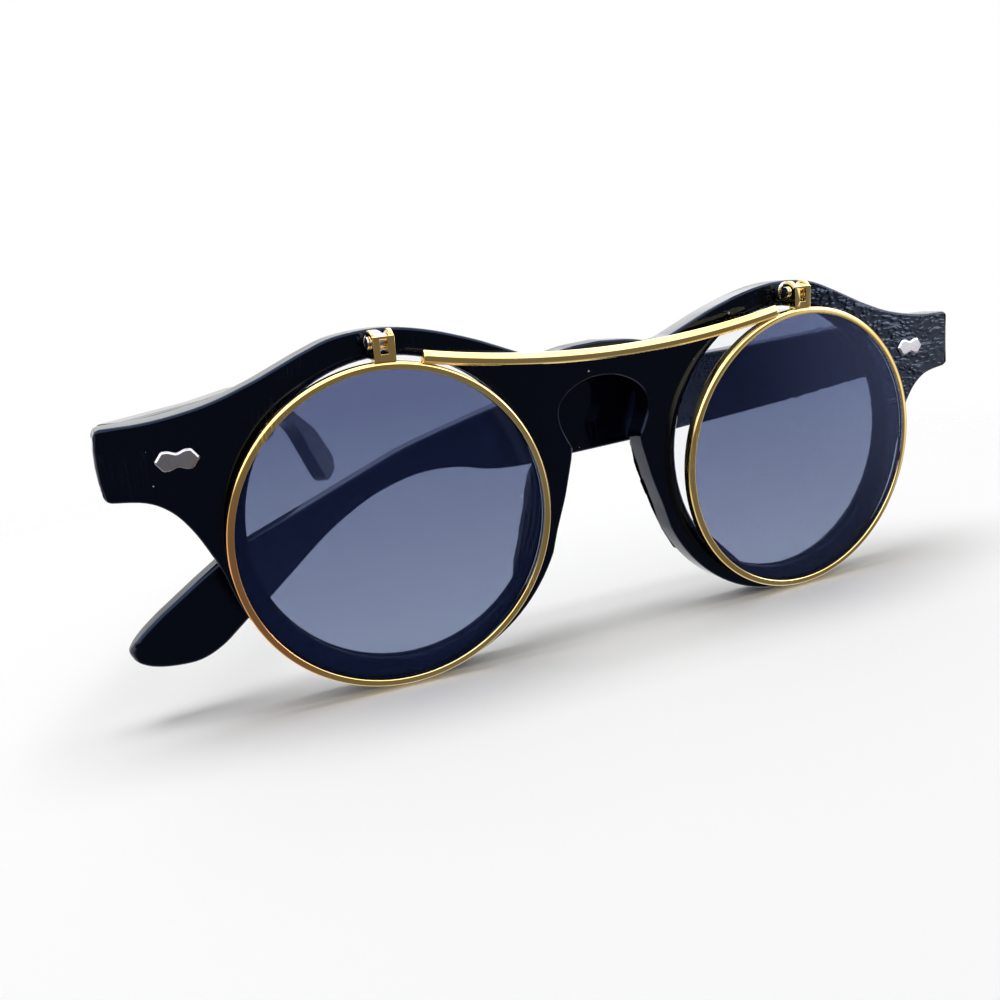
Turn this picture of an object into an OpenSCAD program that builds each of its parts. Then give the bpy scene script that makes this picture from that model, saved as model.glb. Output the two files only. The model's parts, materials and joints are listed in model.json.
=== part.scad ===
// Flip up sunglasses: a moulded black front with two clear lenses, two folding temples,
// and a gold wire frame of two tinted lenses that swings up on two small hinges.
// X runs along the front, Y from the front towards the wearer, Z up. Left is the -X side.
// The origin is the middle of the bridge, on the front face, level with the eye openings' centres.
// The right temple lies folded against the front. The left one, which folds over it, stands part open.

/* [Front] */
// Half of the whole width of the front
half_width = 73.4; // [73:0.1:73.8]
// Thickness of the front through its lens rings
front_thick = 4.2; // [4:0.1:4.4]
// Radius that the front is curved to, seen from above
front_radius = 1000; // [950:10:1100]
// Distance from the middle to the centre of each eye opening
eye_x = 34.1; // [34:0.1:34.3]
// Radius of each eye opening
eye_r = 22; // [21.6:0.1:22.1]
// Width of the ring round each eye opening
ring_w = 3.9; // [3.8:0.1:4]
// Depth from the front's face to the joint between front and temples
joint_y = 7.8; // [7.6:0.1:7.9]

/* [Clear lenses] */
// Thickness of each clear lens
clear_thick = 1.8; // [1.5:0.1:1.9]
// Depth of the groove that holds each clear lens
clear_groove = 0.9; // [0.6:0.1:1]

/* [Flip frame] */
// Distance from the middle to the centre of each gold rim
rim_x = 35.8; // [35.6:0.1:36]
// Inner radius of each gold rim
rim_r = 22.5; // [22.4:0.05:22.6]
// Width of the face of each gold rim
rim_w = 1.05; // [1:0.05:1.1]
// Depth of each gold rim from front to back
rim_depth = 1.8; // [1.7:0.05:1.8]
// Angle by which each rim turns back at its outer side
rim_wrap = 2.6; // [2.4:0.1:2.8]
// Angle by which the flip frame leans in at its foot
flip_lean = 3; // [2.5:0.1:3]
// Thickness of each tinted lens
tint_thick = 1.3; // [1.1:0.1:1.4]
// Radius of the round bar that joins the rims
bar_r = 0.93; // [0.8:0.01:0.95]
// Radius of the curve that the bar is bent to
bar_bend = 155; // [150:1:165]

/* [Flip hinges] */
// Distance from the middle to each flip hinge
flip_x = 35.15; // [35:0.05:35.3]
// Radius of the flip hinge pins
flip_pin_r = 0.5; // [0.45:0.01:0.5]
// Outer width of each stamped hinge bracket
bracket_w = 3.1; // [3:0.05:3.2]
// Thickness of the sheet that the brackets are stamped from
bracket_sheet = 0.5; // [0.45:0.01:0.5]

/* [Temples] */
// Thickness of each temple at its hinge
temple_thick = 3.9; // [3.6:0.1:4]
// Angle at which the left temple stands open
left_open = 66; // [15:0.5:90]

/* [Temple hinges] */
// Distance from the middle to each hinge screw
screw_x = 67.4; // [67.2:0.1:67.6]
// Radius of the hinge screws
screw_r = 0.7; // [0.6:0.01:0.7]
// Radius of the hinge knuckles
knuckle_r = 1.5; // [1.4:0.05:1.5]

/* [Hidden] */
$fn = 96;

// Slack between metal parts that do not move on each other, and round a pin that turns
fit_gap = 0.02;
run_gap = 0.06;
// Overshoot of a cutting shape past the face that it cuts
over = 0.5;

// Turning and placing

// Runs its children as they are on the right, and mirrored on the left
module on_side(side) {
    if (side > 0) children();
    else mirror([1, 0, 0]) children();
}

// Gives a flat outline, drawn in X and Z, its depth from y0 to y1
module slab(y0, y1) {
    translate([0, y1, 0]) rotate([90, 0, 0]) linear_extrude(y1 - y0) children();
}

// Turns a shape round the Z axis into one round the Y axis, running backwards from y = 0
module face_back() {
    rotate([-90, 0, 0]) children();
}

// A round bar along X, centred on the X axis
module x_rod(r, length) {
    rotate([0, 90, 0]) cylinder(r = r, h = length, center = true);
}

// Smooth curve through hand-placed points
function blend_point(a, b, c, d, t) =
    0.5 * (2 * b + (c - a) * t + (2 * a - 5 * b + 4 * c - d) * t * t + (3 * b - a - 3 * c + d) * t * t * t);
function smooth(points, steps) = [
    for (i = [0 : len(points) - 2]) for (j = [0 : steps - 1])
        blend_point(points[max(i - 1, 0)], points[i], points[i + 1],
                    points[min(i + 2, len(points) - 1)], j / steps)
];
function arc(centre, r, from, to, steps) = [
    for (i = [0 : steps - 1])
        let (angle = from + (to - from) * i / steps) centre + r * [cos(angle), sin(angle)]
];
function mirrored(points) = [for (i = [len(points) - 1 : -1 : 0]) [-points[i][0], points[i][1]]];

// Front

ring_r = eye_r + ring_w;
end_top = 17.2;
end_foot = 7.4;
end_mid = (end_top + end_foot) / 2;
end_bulge = 0.45;
end_corner = 0.5;
// Angles on the lens ring where the end piece and the nose side leave it
ring_from = -11;
ring_to = -155;

// Half outline of the front, from the bridge's top round to the keyhole's top
brow_points = [
    [0, 20.35], [5, 20], [8.5, 19.35], [10.3, 19.2], [12.3, 19.7], [15.5, 21], [20, 22.8], [26, 24.7],
    [31.5, 25.8], [36, 26], [41, 25.4], [45, 24], [48.3, 22.6], [53, 20.6], [59, 18.6], [66, 17.4],
    [half_width - end_bulge - end_corner, end_top]
];
end_points = [
    [half_width - end_bulge, end_top - end_corner], [half_width - 0.1, end_mid + 2.2],
    [half_width, end_mid], [half_width - 0.1, end_mid - 2.2],
    [half_width - end_bulge, end_foot + end_corner]
];
under_points = [
    [half_width - end_bulge - end_corner, end_foot], [68, 6.7], [65, 4.9], [62.7, 1.9], [60.8, -1.9],
    [eye_x + ring_r * cos(ring_from), ring_r * sin(ring_from)]
];
nose_points = [
    [eye_x + ring_r * cos(ring_to), ring_r * sin(ring_to)],
    [9.6, -7.5], [8, -3.1], [7.1, 0], [6.3, 3], [6, 5]
];
key_points = [
    [6, 5], [6.8, 6.5], [7.6, 8.5], [7.75, 10.5], [7.1, 12.1], [5.2, 13.7], [2.4, 14.8], [0, 15.05]
];
half_outline = concat(
    smooth(brow_points, 6),
    [brow_points[len(brow_points) - 1]],
    end_points,
    smooth(under_points, 5),
    arc([eye_x, 0], ring_r, ring_from, ring_to, 48),
    smooth(nose_points, 5),
    smooth(key_points, 5)
);
front_outline = concat(half_outline, mirrored(half_outline));

// Depth of the curved front face at a distance x from the middle, and its slope there
function face_y(x) = front_radius - sqrt(front_radius * front_radius - x * x);
function face_turn(x) = asin(x / front_radius);

module curved_sheet() {
    translate([0, front_radius, 0]) difference() {
        cylinder(r = front_radius, h = 80, center = true, $fn = 1440);
        cylinder(r = front_radius - front_thick, h = 90, center = true, $fn = 1440);
    }
}

// The end piece is thicker, up to the joint with the temple, with its corners taken off
end_from = 57;
end_full = 60.5;
end_rear = joint_y - 0.1;
corner = 0.6;
module end_block() {
    linear_extrude(end_top + 5) polygon([
        [end_from, face_y(end_from) + 1], [half_width, face_y(half_width) + 1],
        [half_width, end_rear - corner], [half_width - corner, end_rear],
        [end_full, end_rear], [end_from, face_y(end_from) + front_thick - 0.3]
    ]);
}
module end_corner_cut() {
    y = face_y(half_width);
    translate([0, 0, -over]) linear_extrude(end_top + 5 + over) polygon([
        [half_width - corner, y - 0.05], [half_width - corner, y - 1], [half_width + 1, y - 1],
        [half_width + 1, y + corner + 1], [half_width, y + corner]
    ]);
}

// Moulded nose pad: a ridge behind the nose side of each lens ring
pad_rear = 8.4;
pad_points = [
    [6.9, 3.4], [7.3, 0], [8.2, -3.3], [9.8, -7.6], [11.7, -12], [13.9, -15.8],
    [16.2, -14.2], [13.7, -9.2], [12.2, -4.6], [11.4, 0], [10.8, 3.4]
];
pad_side = [
    [3, 4.5], [4.4, 4.5], [7.6, 1], [pad_rear, -2], [pad_rear, -8], [7, -12.5], [4.4, -16], [3, -16]
];
pad_flare = 28;
nose_slant = -19;
module nose_pad() {
    difference() {
        intersection() {
            slab(3, pad_rear + over) polygon(pad_points);
            rotate([90, 0, 90]) linear_extrude(20) polygon(pad_side);
        }
        translate([7.2, front_thick, 0]) rotate([0, nose_slant, 0]) rotate([0, 0, -pad_flare])
            translate([-20, 0, -30]) cube([20, 20, 60]);
    }
}

// Cuts for the eye opening, its bevelled edges and the groove of the clear lens
lens_mid = front_thick / 2;
bevel = 0.5;
module at_eye() {
    translate([eye_x, face_y(eye_x), 0]) rotate([0, 0, face_turn(eye_x)]) children();
}
module eye_cut() {
    at_eye() {
        translate([0, -1, 0]) face_back() cylinder(r = eye_r, h = front_thick + 2, $fn = 180);
        translate([0, -1, 0]) face_back()
            cylinder(r1 = eye_r + bevel + 1, r2 = eye_r, h = bevel + 1, $fn = 180);
        translate([0, front_thick - bevel, 0]) face_back()
            cylinder(r1 = eye_r, r2 = eye_r + bevel + 1, h = bevel + 1, $fn = 180);
        translate([0, lens_mid - clear_thick / 2 - fit_gap, 0]) face_back()
            cylinder(r = eye_r + clear_groove + fit_gap, h = clear_thick + 2 * fit_gap, $fn = 180);
    }
}

module front_frame() {
    color("#101018") difference() {
        union() {
            intersection() {
                slab(-1, 9) polygon(front_outline);
                union() {
                    curved_sheet();
                    for (side = [-1, 1]) on_side(side) end_block();
                }
            }
            for (side = [-1, 1]) on_side(side) nose_pad();
        }
        for (side = [-1, 1]) on_side(side) {
            eye_cut();
            end_corner_cut();
            flip_post_hole();
            plaque_pin_holes(plaque_pin_r + fit_gap);
            hinge_pocket();
        }
    }
}

module clear_lens(side) {
    color("#dfe8ee", 0.35) on_side(side) at_eye()
        translate([0, lens_mid - clear_thick / 2, 0]) face_back()
            cylinder(r = eye_r + clear_groove, h = clear_thick, $fn = 180);
}

// Rivet plaques: a pair of joined diamonds with two pins that hold the hinge leaf behind

plaque_x = 63.3;
plaque_z = 11.9;
plaque_thick = 0.45;
plaque_pin_r = 0.5;
plaque_pin_x = 1.5;
plaque_points = [
    [-3, 0], [-1.75, 1.38], [-1.2, 1.38], [0, 0.8], [1.2, 1.38], [1.75, 1.38],
    [3, 0], [1.75, -1.38], [1.2, -1.38], [0, -0.8], [-1.2, -1.38], [-1.75, -1.38]
];
plaque_inner = [for (p = plaque_points) p * 0.82];

module at_plaque() {
    translate([plaque_x, face_y(plaque_x), plaque_z]) rotate([0, 0, face_turn(plaque_x)]) children();
}
module plaque_pin_holes(r) {
    for (x = [-plaque_pin_x, plaque_pin_x]) translate([plaque_x + x, 0, plaque_z])
        face_back() cylinder(r = r, h = 10);
}
module rivet_plaque(side) {
    color("#c9ccd2") on_side(side) {
        at_plaque() {
            slab(-plaque_thick * 0.6, -fit_gap) polygon(plaque_points);
            slab(-plaque_thick, -plaque_thick * 0.6) polygon(plaque_inner);
        }
        for (x = [-plaque_pin_x, plaque_pin_x]) translate([plaque_x + x, face_y(plaque_x) - 0.2, plaque_z])
            face_back() cylinder(r = plaque_pin_r, h = end_rear - face_y(plaque_x) + 0.2);
    }
}

// Temple hinges: a riveted leaf with two knuckles on the front, one knuckle on the temple, and a screw

hinge_z = end_mid;
hinge_half = 3;
mid_half = 1.05;
mid_gap = 0.05;
leaf_thick = 1;
leaf_from = 59;
leaf_to = 66.5;
head_r = 1.2;
head_h = 0.6;
slot_w = 0.35;

// Runs a hinge's parts about its hinge line
module on_hinge(side) {
    on_side(side) translate([screw_x, joint_y, hinge_z]) children();
}
// The pocket is cut a little wider than the knuckles, and is closed at its top
module hinge_pocket() {
    translate([leaf_from - fit_gap, end_rear - leaf_thick - fit_gap, hinge_z - hinge_half - 0.2])
        cube([leaf_to - leaf_from + 2, leaf_thick + over, 2 * hinge_half + 0.4]);
    translate([screw_x, joint_y, hinge_z - hinge_half - 0.3])
        cylinder(r = knuckle_r + 0.35, h = 2 * hinge_half + 0.3 + head_h + 0.15);
}
module front_hinge_leaf(side) {
    color("#b9bcc2") difference() {
        union() {
            on_side(side) difference() {
                translate([leaf_from, end_rear - leaf_thick, hinge_z - hinge_half])
                    cube([leaf_to - leaf_from, leaf_thick, 2 * hinge_half]);
                plaque_pin_holes(plaque_pin_r + fit_gap);
                translate([leaf_to - 2.6, 0, hinge_z - mid_half - 0.15])
                    cube([5, 12, 2 * mid_half + 0.3]);
            }
            on_hinge(side) for (z = [-hinge_half, mid_half + mid_gap]) translate([0, 0, z]) {
                cylinder(r = knuckle_r, h = hinge_half - mid_half - mid_gap);
                translate([-1.6, -1.05, 0]) cube([1.6, 0.9, hinge_half - mid_half - mid_gap]);
            }
        }
        on_hinge(side) cylinder(r = screw_r + run_gap, h = 12, center = true);
    }
}
module hinge_screw(side) {
    color("#b9bcc2") on_hinge(side) {
        translate([0, 0, -hinge_half]) cylinder(r = screw_r, h = 2 * hinge_half + 0.1);
        difference() {
            translate([0, 0, hinge_half + fit_gap]) cylinder(r = head_r, h = head_h);
            translate([-2, -slot_w / 2, hinge_half + fit_gap + head_h - 0.3]) cube([4, slot_w, 1]);
        }
    }
}

// Temples, drawn folded flat against the front: d runs from the hinge line to the tip

temple_in = 1.7;
temple_top = [
    [0.1, 17.1], [18, 16.4], [38, 15.3], [58, 14.9], [70, 14.1], [82, 11.6], [96, 7.9], [103, 5.4],
    [113, 1.5], [123, -2.3], [128, -5.1], [132.5, -8], [136.5, -10.7], [139.1, -12.8]
];
temple_foot = [
    [140.1, -16.1], [138.1, -17.3], [135.2, -18], [131.4, -18.1], [128, -16.8], [124.5, -14.2],
    [118, -9], [112, -4.2],
    [108, -1.5], [103, 1.1], [98, 2.7], [94, 3.3], [89, 3.1], [80, 1.6], [58, 2.3], [31, 4.4], [12, 6.3],
    [0.1, 7.5]
];
temple_tip = [140.6, -14.7];
temple_outline = concat(
    smooth(concat(temple_top, [temple_tip, temple_foot[0]]), 5),
    smooth(temple_foot, 5),
    [temple_foot[len(temple_foot) - 1]]
);
// Plan of the temple: its inner face turns in towards the head past the ear bend
temple_plan = concat(
    smooth([
        [0, temple_in], [60, temple_in], [95, temple_in - 0.1], [120, temple_in - 0.9],
        [142, temple_in - 2.2]
    ], 6),
    smooth([
        [142, temple_in + 1.1], [120, temple_in + 2.6], [95, temple_in + 3.4], [60, temple_in + 3.7],
        [0, temple_in + temple_thick]
    ], 6),
    [[0, temple_in + temple_thick]]
);

// Puts a folded temple's parts, drawn along +d from the hinge line, on its side at its opening angle
module on_temple(side) {
    if (side > 0) translate([screw_x, joint_y, 0]) mirror([1, 0, 0]) children();
    else translate([-screw_x, joint_y, 0]) rotate([0, 0, left_open]) children();
}

// The temple's leaf is let into the temple's inner face and held by two pegs
temple_leaf_in = 1.1;
temple_leaf_thick = 0.8;
temple_leaf_from = 2;
temple_leaf_to = 10.5;
temple_leaf_half = 2.4;
peg_r = 0.6;
peg_d = [4.5, 8.5];
peg_depth = 1.6;
arm_in = 0.3;

module temple(side) {
    color("#101018") on_temple(side) difference() {
        intersection() {
            slab(-2, 8) polygon(temple_outline);
            translate([0, 0, -25]) linear_extrude(50) polygon(temple_plan);
        }
        translate([temple_leaf_from - fit_gap, 0, hinge_z - temple_leaf_half - fit_gap])
            cube([
                temple_leaf_to - temple_leaf_from + 2 * fit_gap,
                temple_leaf_in + temple_leaf_thick + fit_gap,
                2 * (temple_leaf_half + fit_gap)
            ]);
        translate([-over, 0, hinge_z - mid_half - fit_gap])
            cube([
                temple_leaf_from + over,
                temple_leaf_in + temple_leaf_thick + fit_gap,
                2 * (mid_half + fit_gap)
            ]);
        for (d = peg_d) translate([d, 0, hinge_z]) face_back()
            cylinder(r = peg_r + fit_gap, h = temple_leaf_in + temple_leaf_thick + peg_depth + fit_gap);
    }
}
module temple_hinge_leaf(side) {
    color("#b9bcc2") on_temple(side) difference() {
        union() {
            translate([temple_leaf_from, temple_leaf_in, hinge_z - temple_leaf_half])
                cube([temple_leaf_to - temple_leaf_from, temple_leaf_thick, 2 * temple_leaf_half]);
            for (d = peg_d) translate([d, temple_leaf_in, hinge_z]) face_back()
                cylinder(r = peg_r, h = temple_leaf_thick + peg_depth);
            translate([0, 0, hinge_z - mid_half]) cylinder(r = knuckle_r, h = 2 * mid_half);
            translate([0, arm_in, hinge_z - mid_half])
                cube([temple_leaf_from + 1, temple_leaf_in + temple_leaf_thick - arm_in, 2 * mid_half]);
        }
        translate([0, 0, hinge_z]) cylinder(r = screw_r + run_gap, h = 12, center = true);
    }
}

// Flip frame: drawn upright with its hinge pins on the X axis, then hung on them with its lean

flip_y = -1.9;
flip_z = 24.2;
// From the pins' line to the rims' front face and centres
rim_face = -2.1;
rim_drop = -26.1;

module on_pins() {
    translate([0, flip_y, flip_z]) rotate([flip_lean, 0, 0]) children();
}
module at_rim() {
    translate([rim_x, rim_face, rim_drop]) rotate([0, 0, rim_wrap]) face_back() children();
}
groove = 0.4;
module rim(side) {
    color("#d9a441") on_pins() on_side(side) at_rim() rotate_extrude($fn = 240) polygon([
        [rim_r, 0], [rim_r + rim_w, 0], [rim_r + rim_w, rim_depth], [rim_r, rim_depth],
        [rim_r, rim_depth / 2 + groove], [rim_r + groove, rim_depth / 2], [rim_r, rim_depth / 2 - groove]
    ]);
}
module tinted_lens(side) {
    edge = rim_r - fit_gap;
    mid = rim_depth / 2;
    color("#3a3c66", 0.6) on_pins() on_side(side) at_rim() rotate_extrude($fn = 240) polygon([
        [0, mid - tint_thick / 2], [edge, mid - tint_thick / 2], [edge, mid - groove], [edge + groove, mid],
        [edge, mid + groove], [edge, mid + tint_thick / 2], [0, mid + tint_thick / 2]
    ]);
}
// Room taken by a rim, for what is soldered to it
module rim_room() {
    at_rim() translate([0, 0, -over])
        cylinder(r = rim_r + rim_w + fit_gap, h = rim_depth + 2 * over, $fn = 240);
}

// Bar: a bent round rod over the bridge, its ends soldered on top of the rims
bar_y = -2;
bar_drop = -5.35;
bar_half_angle = asin(30 / bar_bend);
solder_x = [25.6, 29.6];
solder_depth = 0.9;
module bridge_bar() {
    color("#d9a441") on_pins() difference() {
        union() {
            translate([0, bar_y, bar_drop + bar_bend])
                rotate([90, 0, 0]) rotate([0, 0, -90 - bar_half_angle])
                rotate_extrude(angle = 2 * bar_half_angle, $fn = 720)
                translate([bar_bend, 0]) circle(bar_r, $fn = 48);
            for (side = [-1, 1]) on_side(side)
                translate([solder_x[0], bar_y - 0.1, rim_drop + rim_r - 1.8])
                    cube([solder_x[1] - solder_x[0], solder_depth, 2.6]);
        }
        for (side = [-1, 1]) on_side(side) rim_room();
    }
}

// Bracket: a stamped channel with a window, two ears for the pin, and a foot soldered to the rim
ear_front = rim_face;
ear_r = 1.75;
ear_foot = -2.2;
web_top = 0.9;
window_w = 1.15;
window_z = [-1.5, 0.55];
foot_h = 0.75;
foot_inner = flip_x - 30.2;
module bracket_ear() {
    rotate([90, 0, 90]) linear_extrude(bracket_sheet) union() {
        translate([ear_front + ear_r, 0]) circle(ear_r, $fn = 64);
        translate([ear_front, ear_foot]) square([2 * ear_r, -ear_foot]);
    }
}
module flip_bracket(side) {
    color("#d9a441") on_pins() on_side(side) difference() {
        translate([flip_x, 0, 0]) difference() {
            union() {
                translate([-bracket_w / 2, 0, 0]) bracket_ear();
                translate([bracket_w / 2 - bracket_sheet, 0, 0]) bracket_ear();
                translate([-bracket_w / 2, ear_front, ear_foot])
                    cube([bracket_w, bracket_sheet, web_top - ear_foot]);
                translate([-bracket_w / 2, ear_front, ear_foot - 0.8]) cube([bracket_w, 1.5, 1.1]);
            }
            translate([-window_w / 2, ear_front - over, window_z[0]])
                cube([window_w, bracket_sheet + 2 * over, window_z[1] - window_z[0]]);
            x_rod(flip_pin_r + fit_gap, bracket_w + 2);
        }
        rim_room();
    }
}
module flip_pin(side) {
    color("#b9bcc2") on_pins() on_side(side) translate([flip_x, 0, 0]) {
        x_rod(flip_pin_r, bracket_w + 0.6);
        for (x = [-1, 1]) translate([x * (bracket_w / 2 + fit_gap + 0.15), 0, 0])
            x_rod(flip_pin_r + 0.35, 0.3);
    }
}

// Fixed knuckle: turned from the brow on a post that is set into the front
post_r = 0.9;
post_depth = 3;
base_r = 1.6;
base_thick = 0.4;
neck_half = 0.95;
flip_knuckle_r = 1.15;
knuckle_w = bracket_w - 2 * bracket_sheet - 0.1;
module flip_post_hole() {
    translate([flip_x, -1, flip_z]) face_back()
        cylinder(r = post_r + fit_gap, h = 1 + face_y(flip_x) + post_depth + fit_gap);
}
module flip_knuckle(side) {
    face = face_y(flip_x) - 0.08;
    color("#b9bcc2") on_side(side) difference() {
        union() {
            translate([flip_x, flip_y, flip_z]) x_rod(flip_knuckle_r, knuckle_w);
            translate([flip_x - knuckle_w / 2, flip_y, flip_z - neck_half])
                cube([knuckle_w, face - flip_y, 2 * neck_half]);
            translate([flip_x, face - base_thick, flip_z]) face_back() cylinder(r = base_r, h = base_thick);
            translate([flip_x, face - base_thick, flip_z]) face_back()
                cylinder(r = post_r, h = base_thick + 0.08 + post_depth);
        }
        translate([flip_x, flip_y, flip_z]) x_rod(flip_pin_r + run_gap, bracket_w);
    }
}

front_frame();
clear_lens(-1);  // clear_lens_left
clear_lens(1);  // clear_lens_right
rivet_plaque(-1);  // rivet_plaque_left
rivet_plaque(1);  // rivet_plaque_right
flip_knuckle(-1);  // flip_knuckle_left
flip_knuckle(1);  // flip_knuckle_right
front_hinge_leaf(-1);  // front_hinge_leaf_left
front_hinge_leaf(1);  // front_hinge_leaf_right
hinge_screw(-1);  // hinge_screw_left
hinge_screw(1);  // hinge_screw_right
temple(-1);  // temple_left
temple(1);  // temple_right
temple_hinge_leaf(-1);  // temple_hinge_leaf_left
temple_hinge_leaf(1);  // temple_hinge_leaf_right
rim(-1);  // flip_rim_left
rim(1);  // flip_rim_right
tinted_lens(-1);  // tinted_lens_left
tinted_lens(1);  // tinted_lens_right
bridge_bar();
flip_bracket(-1);  // flip_bracket_left
flip_bracket(1);  // flip_bracket_right
flip_pin(-1);  // flip_pin_left
flip_pin(1);  // flip_pin_right
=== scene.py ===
import json
import math

import bpy
import numpy as np
from mathutils import Matrix, Vector


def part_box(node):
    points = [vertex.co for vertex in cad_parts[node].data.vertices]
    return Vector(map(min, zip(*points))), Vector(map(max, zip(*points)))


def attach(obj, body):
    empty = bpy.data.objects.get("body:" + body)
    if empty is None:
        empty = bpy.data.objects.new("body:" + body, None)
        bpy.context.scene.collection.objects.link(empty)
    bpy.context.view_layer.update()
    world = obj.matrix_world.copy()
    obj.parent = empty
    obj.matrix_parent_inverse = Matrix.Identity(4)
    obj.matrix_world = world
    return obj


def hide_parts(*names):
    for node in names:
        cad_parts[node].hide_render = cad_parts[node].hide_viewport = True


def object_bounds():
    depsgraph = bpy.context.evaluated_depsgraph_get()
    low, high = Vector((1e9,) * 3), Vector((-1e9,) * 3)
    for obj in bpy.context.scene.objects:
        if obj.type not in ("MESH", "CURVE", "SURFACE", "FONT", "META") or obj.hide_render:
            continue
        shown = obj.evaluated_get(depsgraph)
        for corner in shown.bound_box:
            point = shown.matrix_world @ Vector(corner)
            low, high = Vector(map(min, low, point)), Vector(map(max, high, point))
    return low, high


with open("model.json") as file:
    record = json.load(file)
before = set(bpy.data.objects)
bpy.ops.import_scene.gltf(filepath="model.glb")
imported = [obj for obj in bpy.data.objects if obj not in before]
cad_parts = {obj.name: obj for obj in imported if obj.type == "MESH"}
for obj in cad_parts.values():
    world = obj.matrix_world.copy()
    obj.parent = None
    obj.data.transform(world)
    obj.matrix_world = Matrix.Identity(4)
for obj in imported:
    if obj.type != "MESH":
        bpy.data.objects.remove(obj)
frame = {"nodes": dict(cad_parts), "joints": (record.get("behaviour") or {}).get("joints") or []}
cad_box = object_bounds()

# Camera
# The photo looks at the glasses from a little above and from the side of the left temple,
# 16 cm away, with the glasses rolled a few degrees.
camera_place = (-0.07645, -0.13729, 0.03253)
camera_turn = (77.195, 5.425, -23.969)
bpy.ops.object.camera_add(location=camera_place, rotation=[math.radians(a) for a in camera_turn])
camera = bpy.context.object
camera.data.sensor_width = 36
camera.data.lens = 36.93
camera.data.clip_start = 0.01
bpy.context.scene.camera = camera
bpy.context.scene.view_settings.view_transform = "Standard"


# Front
# The front is cut and milled from a slab of black acetate, with a keyhole bridge, thick end
# pieces and nose pads, and is tumbled until every edge is round and glossy.
mm = 0.001
front_radius = 1.0
front_round = 0.45
acetate_black = (0.0015, 0.0015, 0.004)
acetate_dust = (0.35, 0.36, 0.4)
peel_depth = 0.004
scratch_depth = 0.002
damp_depth = 0.06


def alone(piece):
    """Selects one piece, and nothing else."""
    bpy.ops.object.select_all(action="DESELECT")
    piece.select_set(True)
    bpy.context.view_layer.objects.active = piece


def edit(piece):
    """Opens one piece in edit mode, with all of its mesh selected."""
    alone(piece)
    bpy.ops.object.mode_set(mode="EDIT")
    bpy.ops.mesh.select_mode(type="VERT")
    bpy.ops.mesh.select_all(action="SELECT")


def done():
    """Goes back from edit mode to object mode."""
    bpy.ops.object.mode_set(mode="OBJECT")


def modify(piece, kind, **settings):
    """Adds one modifier to a piece and applies it."""
    alone(piece)
    modifier = piece.modifiers.new(kind.title(), kind)
    for key, value in settings.items():
        setattr(modifier, key, value)
    bpy.ops.object.modifier_apply(modifier=modifier.name)


def polish(piece, angle=35, flats=True):
    """Shades a piece smooth over its rounded edges, with its flat faces kept flat if it has any."""
    alone(piece)
    bpy.ops.object.shade_smooth_by_angle(angle=math.radians(angle))
    if flats:
        modify(piece, "WEIGHTED_NORMAL", keep_sharp=True, weight=80)


def rounded_copy(node, name, width, segments=3):
    """A copy of a CAD node's mesh, with its sharp edges rounded to the given width in mm."""
    piece = frame["nodes"][node].copy()
    piece.data = piece.data.copy()
    piece.parent = None
    for key in list(piece.keys()):
        del piece[key]
    piece.name = piece.data.name = name
    bpy.context.scene.collection.objects.link(piece)
    edit(piece)
    bpy.ops.mesh.customdata_custom_splitnormals_clear()
    bpy.ops.mesh.remove_doubles(threshold=0.001 * mm)
    bpy.ops.mesh.dissolve_limited(angle_limit=math.radians(1))
    done()
    modify(
        piece, "BEVEL", width=width * mm, segments=segments, limit_method="ANGLE",
        angle_limit=math.radians(30), use_clamp_overlap=False, miter_outer="MITER_ARC",
    )
    edit(piece)
    bpy.ops.mesh.quads_convert_to_tris(quad_method="BEAUTY", ngon_method="BEAUTY")
    done()
    polish(piece)
    return piece


def place(piece, node, body, material):
    """Puts a finished piece in a CAD node's place, on its body, with its finish."""
    piece.data.materials.clear()
    piece.data.materials.append(material)
    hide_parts(node)
    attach(piece, body)


def add(tree, kind, inputs=None, **settings):
    """Adds a shader node, sets it up, and feeds its inputs from values or other nodes' outputs."""
    node = tree.nodes.new("ShaderNode" + kind)
    for key, value in settings.items():
        setattr(node, key, value)
    for key, value in (inputs or {}).items():
        if isinstance(value, bpy.types.NodeSocket):
            tree.links.new(value, node.inputs[key])
        else:
            node.inputs[key].default_value = value
    return node


def ramp(tree, value, low, high, start=0.0, end=1.0, kind="SMOOTHSTEP"):
    """Carries a value from one range over to another, smoothly and within its ends."""
    inputs = {"Value": value, "From Min": low, "From Max": high, "To Min": start, "To Max": end}
    return add(tree, "MapRange", inputs, interpolation_type=kind).outputs["Result"]


def math_node(tree, operation, a, b):
    """One sum on two values, either of which may come from another node."""
    return add(tree, "Math", {0: a, 1: b}, operation=operation).outputs[0]


def new_group(name, outputs):
    """A shader group that takes a place on the piece and gives out masks or heights."""
    group = bpy.data.node_groups.new(name, "ShaderNodeTree")
    group.interface.new_socket("Vector", in_out="INPUT", socket_type="NodeSocketVector")
    for output in outputs:
        group.interface.new_socket(output, in_out="OUTPUT", socket_type="NodeSocketFloat")
    start = group.nodes.new("NodeGroupInput")
    end = group.nodes.new("NodeGroupOutput")
    return group, start.outputs["Vector"], end


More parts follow.
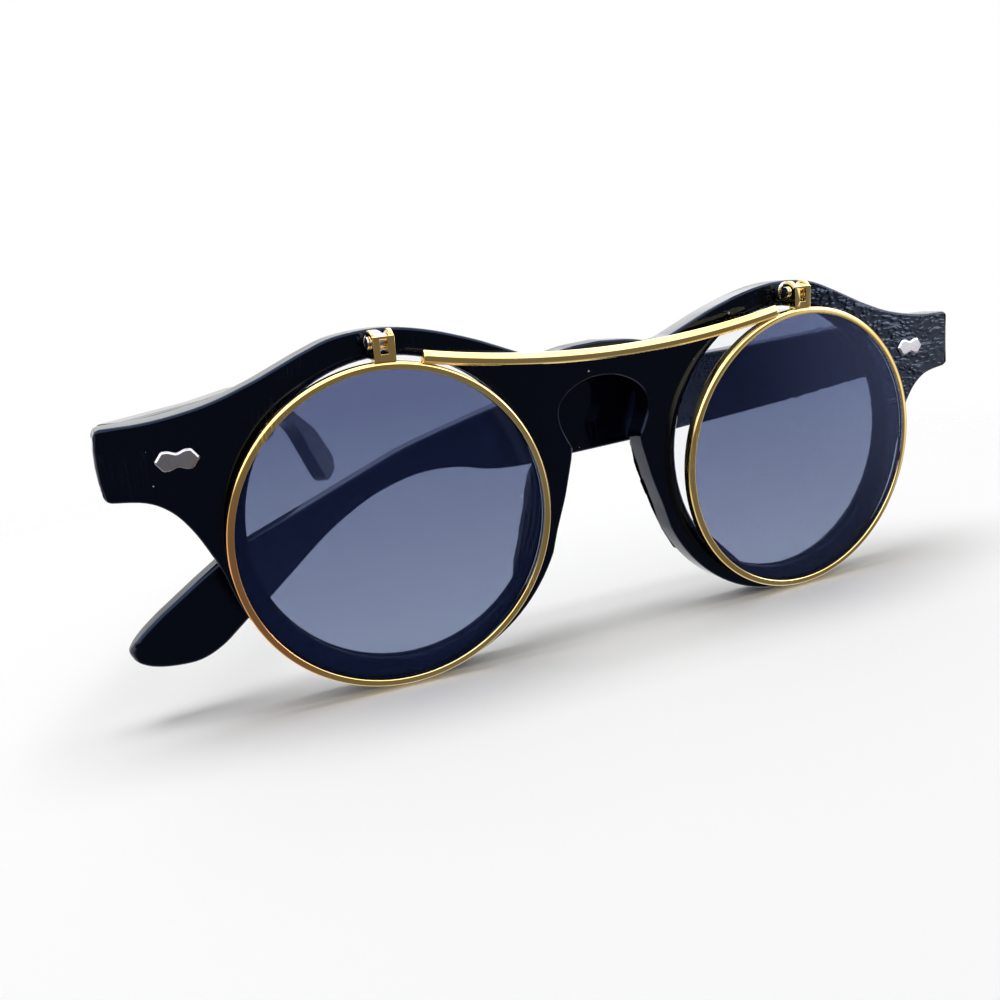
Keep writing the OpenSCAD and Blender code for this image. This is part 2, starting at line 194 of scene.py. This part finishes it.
def handling_wear():
    """Dust specks, hairline scratches and the faint smudges that handling leaves on a gloss."""
    group, vector, end = new_group("handling_wear", ["Dust", "Scratches", "Smudges"])
    cells = add(group, "TexVoronoi", {"Vector": vector, "Scale": 420})
    chosen = add(group, "SeparateColor", {0: cells.outputs["Color"]}).outputs["Red"]
    speck_size = ramp(group, chosen, 0.8, 1.0, 0.0, 0.09, "LINEAR")
    dust = math_node(group, "LESS_THAN", cells.outputs["Distance"], speck_size)
    group.links.new(dust, end.inputs["Dust"])
    lines = []
    for turn in (0.5, -0.9):
        along = add(
            group, "Mapping", {"Vector": vector, "Rotation": (0, turn, 0.2), "Scale": (1, 1, 0.03)},
        )
        edges = add(
            group, "TexVoronoi", {"Vector": along.outputs[0], "Scale": 900}, feature="DISTANCE_TO_EDGE",
        )
        lines.append(ramp(group, edges.outputs["Distance"], 0.0, 0.035, 1.0, 0.0))
    lines = math_node(group, "MAXIMUM", *lines)
    patches = add(group, "TexNoise", {"Vector": vector, "Scale": 110, "Detail": 2}).outputs[0]
    patches = ramp(group, patches, 0.55, 0.7)
    group.links.new(math_node(group, "MULTIPLY", lines, patches), end.inputs["Scratches"])
    smudges = add(group, "TexNoise", {"Vector": vector, "Scale": 45, "Detail": 4, "Roughness": 0.6})
    group.links.new(ramp(group, smudges.outputs[0], 0.35, 0.7), end.inputs["Smudges"])
    return group


def droplets():
    """Heights of the beads and runs of damp on the front's outer right side."""
    group, vector, end = new_group("droplets", ["Beads", "Runs"])
    slant = (0, 0.35, 0)
    bead_share = 0.6
    run_share = 4.0
    waver = add(group, "TexNoise", {"Vector": vector, "Scale": 130, "Detail": 2}).outputs["Color"]
    waver = add(group, "VectorMath", {0: waver, 1: (0.003, 0.003, 0.003)}, operation="MULTIPLY")
    wavy = add(group, "VectorMath", {0: vector, 1: waver.outputs[0]}, operation="ADD").outputs[0]
    bead_place = add(group, "Mapping", {"Vector": wavy, "Rotation": slant, "Scale": (0.5, 0.3, 1)})
    cells = add(
        group, "TexVoronoi", {"Vector": bead_place.outputs[0], "Scale": 1500, "Smoothness": 0.5},
        feature="SMOOTH_F1",
    )
    beads = ramp(group, cells.outputs["Distance"], 0.1, 0.6, 1.0, 0.0)
    run_place = add(group, "Mapping", {"Vector": wavy, "Rotation": slant, "Scale": (0.22, 0.3, 1)})
    runs = add(group, "TexNoise", {"Vector": run_place.outputs[0], "Scale": 620, "Detail": 3}).outputs[0]
    both = math_node(
        group, "ADD",
        math_node(group, "MULTIPLY", beads, bead_share),
        math_node(group, "MULTIPLY", runs, run_share),
    )
    spot = add(group, "SeparateXYZ", {0: vector}).outputs
    outer = ramp(group, spot["X"], 0.012, 0.05)
    outer = math_node(group, "MULTIPLY", outer, ramp(group, spot["Y"], 0.0055, 0.003))
    group.links.new(math_node(group, "MULTIPLY", beads, outer), end.inputs["Beads"])
    group.links.new(math_node(group, "MULTIPLY", both, outer), end.inputs["Runs"])
    return group


wear_group = handling_wear()
droplet_group = droplets()


def new_material(name, **plain):
    """A material with plain values on its shader, and the wear group in its tree."""
    material = bpy.data.materials.new(name)
    material.use_nodes = True
    tree = material.node_tree
    shader = tree.nodes["Principled BSDF"]
    for key, value in plain.items():
        shader.inputs[key.replace("_", " ")].default_value = value
    vector = add(tree, "TexCoord").outputs["Object"]
    wear = add(tree, "Group", node_tree=wear_group)
    tree.links.new(vector, wear.inputs["Vector"])
    return material, tree, shader, vector, wear.outputs


def tinge(tree, mask, first, second):
    """Mixes two colours by a mask."""
    mix = add(tree, "Mix", {0: mask}, data_type="RGBA")
    for socket, color in (("A_Color", first), ("B_Color", second)):
        target = next(i for i in mix.inputs if i.identifier == socket)
        if isinstance(color, bpy.types.NodeSocket):
            tree.links.new(color, target)
        else:
            target.default_value = (*color, 1)
    return next(o for o in mix.outputs if o.identifier == "Result_Color")


def relief(tree, height, depth, below=None):
    """A bump of the given depth in mm, over another bump if there is one."""
    bump = add(tree, "Bump", {"Height": height, "Distance": depth * mm, "Strength": 1})
    if below:
        tree.links.new(below, bump.inputs["Normal"])
    return bump.outputs["Normal"]


def black_acetate():
    """Polished black plastic with a blue sheen, a faint orange peel, wear, and damp on the front."""
    material, tree, shader, vector, wear = new_material(
        "black_acetate", Specular_Tint=(0.38, 0.55, 1, 1), IOR=1.49, Specular_IOR_Level=0.32,
    )
    color = tinge(tree, wear["Dust"], acetate_black, acetate_dust)
    rough = ramp(tree, wear["Smudges"], 0, 1, 0.04, 0.1)
    rough = math_node(tree, "MAXIMUM", rough, ramp(tree, wear["Scratches"], 0, 1, 0, 0.35))
    peel = add(tree, "TexNoise", {"Vector": vector, "Scale": 240, "Detail": 2}).outputs[0]
    normal = relief(tree, peel, peel_depth)
    damp = add(tree, "Group", {"Vector": vector}, node_tree=droplet_group)
    normal = relief(tree, damp.outputs["Runs"], damp_depth, normal)
    unscratched = math_node(tree, "SUBTRACT", 1.0, wear["Scratches"])
    normal = relief(tree, unscratched, scratch_depth, normal)
    tree.links.new(color, shader.inputs["Base Color"])
    tree.links.new(rough, shader.inputs["Roughness"])
    tree.links.new(normal, shader.inputs["Normal"])
    return material


def curve_normals(piece):
    """Gives the front's wide faces the true slope of their curve, which is a metre in radius."""
    mesh = piece.data
    normals = [Vector(corner.vector) for corner in mesh.corner_normals]
    for face in mesh.polygons:
        for way in (-1, 1):
            slope = Vector((-way * face.center.x / front_radius, way, 0)).normalized()
            if face.normal.dot(slope) < math.cos(math.radians(2)):
                continue
            for corner in face.loop_indices:
                x = mesh.vertices[mesh.loops[corner].vertex_index].co.x
                normals[corner] = Vector((-way * x / front_radius, way, 0)).normalized()
    mesh.normals_split_custom_set(normals)


acetate = black_acetate()
front = rounded_copy("front_frame", "acetate_front", front_round)
curve_normals(front)
place(front, "front_frame", "front", acetate)


# Temples
# Each temple is cut from a sheet of the same acetate, with a drop at the ear and a paddle tip,
# and is pressed to shape and tumbled. Its hinge leaf is let into its inner face.
temple_round = 0.65
for side in ("left", "right"):
    temple = rounded_copy(f"temple_{side}", f"acetate_temple_{side}", temple_round, segments=4)
    place(temple, f"temple_{side}", f"temple_{side}", acetate)


# Clear lenses
# The clear lenses are polished discs of plastic, snapped into the groove of each eye ring.
# They keep the CAD's shape, and get their finish here.
clear_first = (0.95, 0.96, 0.98)
clear_second = (0.97, 0.98, 0.98)
lens_dust = (0.45, 0.46, 0.5)


def lens_material(name, color_of, **plain):
    """Glass with dust on it, which lets lamplight through in its own tint."""
    material, tree, shader, vector, wear = new_material(
        name, Transmission_Weight=1.0, IOR=1.5, **plain,
    )
    color = color_of(tree, vector)
    dusty = tinge(tree, math_node(tree, "MULTIPLY", wear["Dust"], 0.7), color, lens_dust)
    tree.links.new(dusty, shader.inputs["Base Color"])
    tree.links.new(ramp(tree, wear["Smudges"], 0.6, 1, 0.0, 0.03), shader.inputs["Roughness"])
    through = add(tree, "BsdfTransparent", {"Color": color}).outputs[0]
    shadow = add(tree, "LightPath").outputs["Is Shadow Ray"]
    mix = add(tree, "MixShader", {0: shadow, 1: shader.outputs[0], 2: through})
    tree.links.new(mix.outputs[0], tree.nodes["Material Output"].inputs["Surface"])
    return material, tree, shader, vector


def clear_tone(tree, vector):
    """Two nearly clear tones in slow waves."""
    waves = add(tree, "TexNoise", {"Vector": vector, "Scale": 30, "Detail": 1}).outputs[0]
    return tinge(tree, waves, clear_first, clear_second)


def finish_node(node, material):
    """Gives a CAD node its finish, and leaves its shape as it is."""
    materials = frame["nodes"][node].data.materials
    materials.clear()
    materials.append(material)


clear, *_ = lens_material("clear_plastic", clear_tone, Specular_IOR_Level=0.15)
for side in ("left", "right"):
    finish_node(f"clear_lens_{side}", clear)


# Rivet plaques
# Each plaque is a pair of joined diamonds, stamped from nickel sheet with a chamfer all round,
# on two pins that go through the end piece and are peened over the hinge leaf.
nickel_bright = (0.62, 0.62, 0.66)
nickel_deep = (0.42, 0.4, 0.44)
plaque_outline = [
    (-3, 0), (-1.95, 1.38), (-1.05, 1.38), (0, 0.95), (1.05, 1.38), (1.95, 1.38),
    (3, 0), (1.95, -1.38), (1.05, -1.38), (0, -0.95), (-1.05, -1.38), (-1.95, -1.38),
]
plaque_gap = 0.02
plaque_corner = 0.25
plaque_side = 0.2
plaque_chamfer = 0.28
plaque_rise = 0.2
plaque_round = 0.06
plaque_pin_x = 1.5
plaque_pin_r = 0.5
plaque_pin_round = 0.12


def plated(name, bright, deep, rough, grain):
    """Polished or satin plated metal, with its tone, smudges and scratches."""
    material, tree, shader, vector, wear = new_material(name, Metallic=1.0)
    tone = add(tree, "TexNoise", {"Vector": vector, "Scale": 45, "Detail": 3}).outputs[0]
    color = tinge(tree, ramp(tree, tone, 0.35, 0.65), bright, deep)
    soft = ramp(tree, wear["Smudges"], 0, 1, rough[0], rough[1])
    soft = math_node(tree, "MAXIMUM", soft, math_node(tree, "MULTIPLY", wear["Scratches"], 0.4))
    fine = add(tree, "Mapping", {"Vector": vector, "Scale": grain})
    brushed = add(tree, "TexNoise", {"Vector": fine.outputs[0], "Scale": 1, "Detail": 2}).outputs[0]
    tree.links.new(color, shader.inputs["Base Color"])
    tree.links.new(soft, shader.inputs["Roughness"])
    tree.links.new(relief(tree, brushed, 0.0015), shader.inputs["Normal"])
    return material, tree, shader, vector


def rivet_plaque(side):
    """Draws the outline, extrudes it forwards, raises an inset face for the chamfer, adds the pins."""
    low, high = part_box(f"rivet_plaque_{side}")
    middle = (low + high) / 2
    face = middle.x ** 2 / (2 * front_radius)
    bpy.ops.mesh.primitive_circle_add(vertices=len(plaque_outline), fill_type="NGON")
    piece = bpy.context.object
    piece.name = piece.data.name = f"nickel_plaque_{side}"
    for vertex, (x, z) in zip(piece.data.vertices, plaque_outline):
        vertex.co = (x * mm, -plaque_gap * mm, z * mm)
    edit(piece)
    bpy.ops.mesh.bevel(offset=plaque_corner * mm, segments=3, affect="VERTICES")
    bpy.ops.mesh.select_all(action="SELECT")
    bpy.ops.mesh.extrude_region_move(TRANSFORM_OT_translate={"value": (0, -plaque_side * mm, 0)})
    bpy.ops.mesh.inset(thickness=plaque_chamfer * mm, depth=0)
    bpy.ops.transform.translate(value=(0, -plaque_rise * mm, 0))
    bpy.ops.mesh.select_all(action="SELECT")
    bpy.ops.mesh.normals_make_consistent(inside=False)
    done()
    modify(
        piece, "BEVEL", width=plaque_round * mm, segments=2, limit_method="ANGLE",
        angle_limit=math.radians(15),
    )
    pin_length = high.y - face
    for x in (-plaque_pin_x, plaque_pin_x):
        bpy.ops.mesh.primitive_cylinder_add(
            vertices=32, radius=plaque_pin_r * mm, depth=pin_length,
            location=(x * mm, pin_length / 2, 0), rotation=(math.pi / 2, 0, 0),
        )
        pin = bpy.context.object
        bpy.ops.object.transform_apply()
        modify(pin, "BEVEL", width=plaque_pin_round * mm, segments=3, limit_method="ANGLE")
        piece.select_set(True)
        bpy.context.view_layer.objects.active = piece
        bpy.ops.object.join()
    turn = Matrix.Rotation(math.asin(middle.x / front_radius), 4, "Z")
    piece.data.transform(Matrix.Translation((middle.x, face, middle.z)) @ turn)
    polish(piece, 25)
    return piece


nickel, *_ = plated("polished_nickel", nickel_bright, nickel_deep, (0.2, 0.3), (500, 500, 500))
for side in ("left", "right"):
    place(rivet_plaque(side), f"rivet_plaque_{side}", "front", nickel)


# Hinges and pins
# The temple hinges are milled nickel silver leaves with a slotted screw, and the flip hinges
# turn on small pins in knuckles that are turned with the posts set into the brow.
steel_bright = (0.62, 0.61, 0.6)
steel_deep = (0.5, 0.49, 0.48)
steel, *_ = plated("nickel_silver", steel_bright, steel_deep, (0.2, 0.34), (300, 300, 4000))
small_parts = {
    "flip_knuckle": ("front", "silver", nickel, 0.08),
    "front_hinge_leaf": ("front", "hinge_steel", steel, 0.08),
    "hinge_screw": ("front", "hinge_steel", steel, 0.06),
    "flip_pin": ("flip_frame", "silver", nickel, 0.06),
    "temple_hinge_leaf": ("temple", "hinge_steel", steel, 0.08),
}
for part, (body, slot, material, round_width) in small_parts.items():
    for side in ("left", "right"):
        piece = rounded_copy(f"{part}_{side}", f"metal_{part}_{side}", round_width, segments=2)
        on_body = f"temple_{side}" if body == "temple" else body
        place(piece, f"{part}_{side}", on_body, material)


# Gold rims
# Each rim is a rolled wire, flat in front with a round outer edge and a groove inside for the
# lens, bent to a ring, brazed shut and gold plated.
gold_bright = (0.93, 0.7, 0.3)
gold_deep = (0.84, 0.58, 0.2)
# Orange painted low on the outer side of the left rim, as a painted reflection.
gold_painted_reflection = (0.86, 0.42, 0.16)
rim_r = 22.5
rim_outer = rim_r + 1.05
rim_half = 0.9
rim_groove = 0.4
rim_inner_round = 0.14
rim_front_round = 0.42
rim_rear_round = 0.3


def gold_plate():
    """Polished gold plate, with a painted warm orange reflection low on the outer side of the left rim.
    """
    material, tree, shader, vector = plated(
        "gold_plate", gold_bright, gold_deep, (0.06, 0.14), (600, 600, 600),
    )
    spot = add(tree, "SeparateXYZ", {0: vector}).outputs
    # Painted reflection: the gold's colour turns orange low on the outer side of the left rim.
    painted_reflection_mask = math_node(
        tree, "MULTIPLY", ramp(tree, spot["X"], -0.046, -0.053), ramp(tree, spot["Z"], 0.012, 0.0),
    )
    plain = shader.inputs["Base Color"].links[0].from_socket
    tree.links.new(tinge(tree, painted_reflection_mask, plain, gold_painted_reflection), shader.inputs["Base Color"])
    return material


def stand_of(node):
    """The place and lean of a flat round node: its middle, with Y along its axis."""
    points = np.array([v.co for v in frame["nodes"][node].data.vertices])
    low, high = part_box(node)
    spread = points - points.mean(axis=0)
    axis = Vector(np.linalg.svd(spread, full_matrices=False)[2][2])
    if axis.y < 0:
        axis.negate()
    across = axis.cross(Vector((0, 0, 1))).normalized()
    up = across.cross(axis)
    turn = Matrix((across, axis, up)).transposed().to_4x4()
    return Matrix.Translation((low + high) / 2) @ turn


def softened(corners, steps=5):
    """Turns each square corner of a closed profile into an arc of its own radius."""
    points = []
    for index, (r, y, radius) in enumerate(corners):
        here = Vector((r, y))
        back = (Vector(corners[index - 1][:2]) - here).normalized()
        ahead = (Vector(corners[(index + 1) % len(corners)][:2]) - here).normalized()
        for step in range(steps + 1 if radius else 1):
            turn = math.pi / 2 * step / steps
            inward = back * (1 - math.sin(turn)) + ahead * (1 - math.cos(turn))
            points.append(here + radius * inward)
    return points


def spun_ring(name, points, steps):
    """Draws a profile by radius and depth in mm, and spins it round the Y axis."""
    bpy.ops.mesh.primitive_circle_add(vertices=len(points), fill_type="NOTHING")
    piece = bpy.context.object
    piece.name = piece.data.name = name
    for vertex, (r, y) in zip(piece.data.vertices, points):
        vertex.co = (r * mm, y * mm, 0)
    edit(piece)
    bpy.ops.mesh.spin(steps=steps, angle=2 * math.pi, center=(0, 0, 0), axis=(0, 1, 0))
    bpy.ops.mesh.select_all(action="SELECT")
    bpy.ops.mesh.remove_doubles(threshold=0.001 * mm)
    bpy.ops.mesh.normals_make_consistent(inside=False)
    done()
    return piece


gold = gold_plate()
rim_profile = softened([
    (rim_r, -rim_half, rim_inner_round), (rim_outer, -rim_half, rim_front_round),
    (rim_outer, rim_half, rim_rear_round), (rim_r, rim_half, rim_inner_round),
    (rim_r, rim_groove, 0), (rim_r + rim_groove, 0, 0), (rim_r, -rim_groove, 0),
])
for side in ("left", "right"):
    rim = spun_ring(f"gold_rim_{side}", rim_profile, 160)
    rim.data.transform(stand_of(f"tinted_lens_{side}"))
    polish(rim, 40, flats=False)
    place(rim, f"flip_rim_{side}", "flip_frame", gold)


# Tinted lenses
# The tinted lenses are flat violet grey plastic, a little darker at the top, bevelled at the
# edge and sprung into the groove of each gold rim. They keep the CAD's shape.
tint_foot = (0.23, 0.27, 0.4)
tint_top = (0.115, 0.14, 0.26)
bead_depth = 0.004


def tint_tone(tree, vector):
    """Goes from the tint's paler foot to its darker top."""
    height = add(tree, "SeparateXYZ", {0: vector}).outputs["Z"]
    return tinge(tree, ramp(tree, height, -0.018, 0.016, kind="LINEAR"), tint_foot, tint_top)


def violet_grey_tint():
    """The tinted plastic, with the same fine damp on its right side as the front."""
    material, tree, shader, vector = lens_material(
        "violet_grey_tint", tint_tone, Specular_Tint=(0.25, 0.38, 1, 1), Specular_IOR_Level=0.2,
    )
    damp = add(tree, "Group", {"Vector": vector}, node_tree=droplet_group)
    tree.links.new(relief(tree, damp.outputs["Beads"], bead_depth), shader.inputs["Normal"])
    return material


tint = violet_grey_tint()
for side in ("left", "right"):
    finish_node(f"tinted_lens_{side}", tint)


# Bar over the bridge
# The bar is a round wire, bent to a shallow curve, its ends cut square and softened, and
# brazed on top of the two rims. It is drawn from the hinge pins' line, in mm.
flip_joint = next(joint for joint in frame["joints"] if joint["name"] == "flip_up")
flip_lean = math.radians(3)
on_pins = Matrix.Translation(Vector(flip_joint["pos_m"])) @ Matrix.Rotation(flip_lean, 4, "X")
bar_r = 0.93
bar_sides = 48
bar_bend = 155
bar_half = 29.9
bar_y = -2
bar_drop = -5.35
bar_end_round = 0.25
braze_place = (27.4, bar_y + 0.35, -3.05)
braze_size = (3.6, 0.9, 1.5)
braze_round = 0.3


def bent_bar():
    """Spins a circle through the bend, closes the tube's two ends and softens their edges."""
    half_angle = math.asin(bar_half / bar_bend)
    bpy.ops.mesh.primitive_circle_add(
        vertices=bar_sides, radius=bar_r * mm, fill_type="NOTHING", location=(bar_bend * mm, 0, 0),
    )
    piece = bpy.context.object
    piece.name = piece.data.name = "gold_bridge_bar"
    bpy.ops.object.transform_apply()
    edit(piece)
    bpy.ops.mesh.spin(steps=72, angle=2 * half_angle, center=(0, 0, 0), axis=(0, 1, 0))
    bpy.ops.mesh.select_all(action="SELECT")
    bpy.ops.mesh.fill_holes(sides=bar_sides)
    bpy.ops.mesh.normals_make_consistent(inside=False)
    done()
    first = Vector((bar_bend * mm, 0, 0))
    far = max(piece.data.vertices, key=lambda v: (v.co - first).length).co
    middle_angle = math.atan2(-far.z, far.x) / 2
    piece.data.transform(Matrix.Rotation(math.pi / 2 - middle_angle, 4, "Y"))
    modify(
        piece, "BEVEL", width=bar_end_round * mm, segments=3, limit_method="ANGLE",
        angle_limit=math.radians(60),
    )
    piece.data.transform(Matrix.Translation((0, bar_y * mm, (bar_drop + bar_bend) * mm)))
    return piece


def braze(sign):
    """The pool of braze between the bar's end and the rim: a cube drawn out and rounded all over."""
    x, y, z = braze_place
    bpy.ops.mesh.primitive_cube_add(size=1, location=(sign * x * mm, y * mm, z * mm))
    pool = bpy.context.object
    pool.scale = [length * mm for length in braze_size]
    bpy.ops.object.transform_apply()
    modify(pool, "BEVEL", width=braze_round * mm, segments=3, limit_method="NONE")
    modify(pool, "SUBSURF", levels=1, render_levels=1)
    return pool


bar = bent_bar()
pools = [braze(sign) for sign in (-1, 1)]
alone(bar)
for pool in pools:
    pool.select_set(True)
bpy.ops.object.join()
bar.data.transform(on_pins)
polish(bar, 50, flats=False)
place(bar, "bridge_bar", "flip_frame", gold)


# Flip brackets
# Each bracket is stamped from sheet with a window, folded to a channel with two ears for the
# pin, brazed on top of its rim and plated with it.
bracket_round = 0.05
for side in ("left", "right"):
    bracket = rounded_copy(f"flip_bracket_{side}", f"gold_bracket_{side}", bracket_round, segments=2)
    place(bracket, f"flip_bracket_{side}", "flip_frame", gold)


# Floor
# A pale floor carries the glasses' shadow and fades into the white backdrop. It doesn't show in
# reflections, so the underside of the gloss reflects the room.
floor_z = cad_box[0][2]
floor_fade = (0.1, 0.24)
bpy.ops.mesh.primitive_grid_add(x_subdivisions=8, y_subdivisions=8, size=3, location=(0, 0, floor_z))
floor = bpy.context.object
floor.name = "floor"
floor_look = bpy.data.materials.new("pale_floor")
floor_look.use_nodes = True
tree = floor_look.node_tree
shader = tree.nodes["Principled BSDF"]
shader.inputs["Base Color"].default_value = (0.9, 0.9, 0.9, 1)
shader.inputs["Roughness"].default_value = 0.7
shader.inputs["Specular IOR Level"].default_value = 0.1
vector = add(tree, "TexCoord").outputs["Object"]
away = add(tree, "VectorMath", {0: vector}, operation="LENGTH").outputs["Value"]
reflected = add(tree, "LightPath").outputs["Is Glossy Ray"]
unseen = math_node(tree, "MAXIMUM", ramp(tree, away, *floor_fade), reflected)
nothing = add(tree, "BsdfTransparent").outputs[0]
mix = add(tree, "MixShader", {0: unseen, 1: shader.outputs[0], 2: nothing})
tree.links.new(mix.outputs[0], tree.nodes["Material Output"].inputs["Surface"])
floor.data.materials.append(floor_look)


# Light
# One broad lamp overhead, and a room that is dim in front of the glasses and bright behind them
# and in a band above, with a glow to the right and a small bright spot over it, for the gloss.
room_front = 0.18
room_fill = 0.55
band_strength = 3.0
glow_way = (0.84, -0.53, -0.08)
glow_strength = 1.2
spot_way = (0.8, -0.57, 0.16)
spot_strength = 6.0
lamp_place = (-0.05, 0.06, 0.5)
lamp_size = (0.45, 0.25)
lamp_power = 1.8

world = bpy.data.worlds.new("studio")
bpy.context.scene.world = world
world.use_nodes = True
tree = world.node_tree
direction = add(tree, "TexCoord").outputs["Generated"]


def light_patch(way, low, high, strength):
    """A round patch of light on the room's wall in one direction, with soft edges."""
    near = add(tree, "VectorMath", {0: direction, 1: way}, operation="DOT_PRODUCT")
    return ramp(tree, near.outputs["Value"], low, high, 0.0, strength)


way = add(tree, "SeparateXYZ", {0: direction}).outputs
behind = ramp(tree, way["Y"], -0.4, 0.3, room_front, 1.0)
band = ramp(tree, way["Z"], 0.08, 0.42, 0.0, band_strength)
band = math_node(tree, "MULTIPLY", band, ramp(tree, way["Z"], 0.8, 0.95, 1.0, 0.3))
glow = light_patch(glow_way, 0.95, 0.998, glow_strength)
spot = light_patch(spot_way, 0.972, 0.99, spot_strength)
room = math_node(tree, "ADD", math_node(tree, "MAXIMUM", behind, band), glow)
room = math_node(tree, "ADD", room, spot)
path = add(tree, "LightPath").outputs
inputs = {"Factor": path["Is Glossy Ray"], "A": room_fill, "B": room}
lit = add(tree, "Mix", inputs, data_type="FLOAT").outputs["Result"]
seen = math_node(tree, "MAXIMUM", path["Is Camera Ray"], path["Is Transmission Ray"])
strength = add(tree, "Mix", {"Factor": seen, "A": lit, "B": 1.0}, data_type="FLOAT").outputs["Result"]
tree.links.new(strength, tree.nodes["Background"].inputs["Strength"])
tree.nodes["Background"].inputs["Color"].default_value = (1, 1, 1, 1)

bpy.ops.object.light_add(type="AREA", location=lamp_place)
lamp = bpy.context.object
lamp.data.shape = "RECTANGLE"
lamp.data.size, lamp.data.size_y = lamp_size
lamp.data.energy = lamp_power
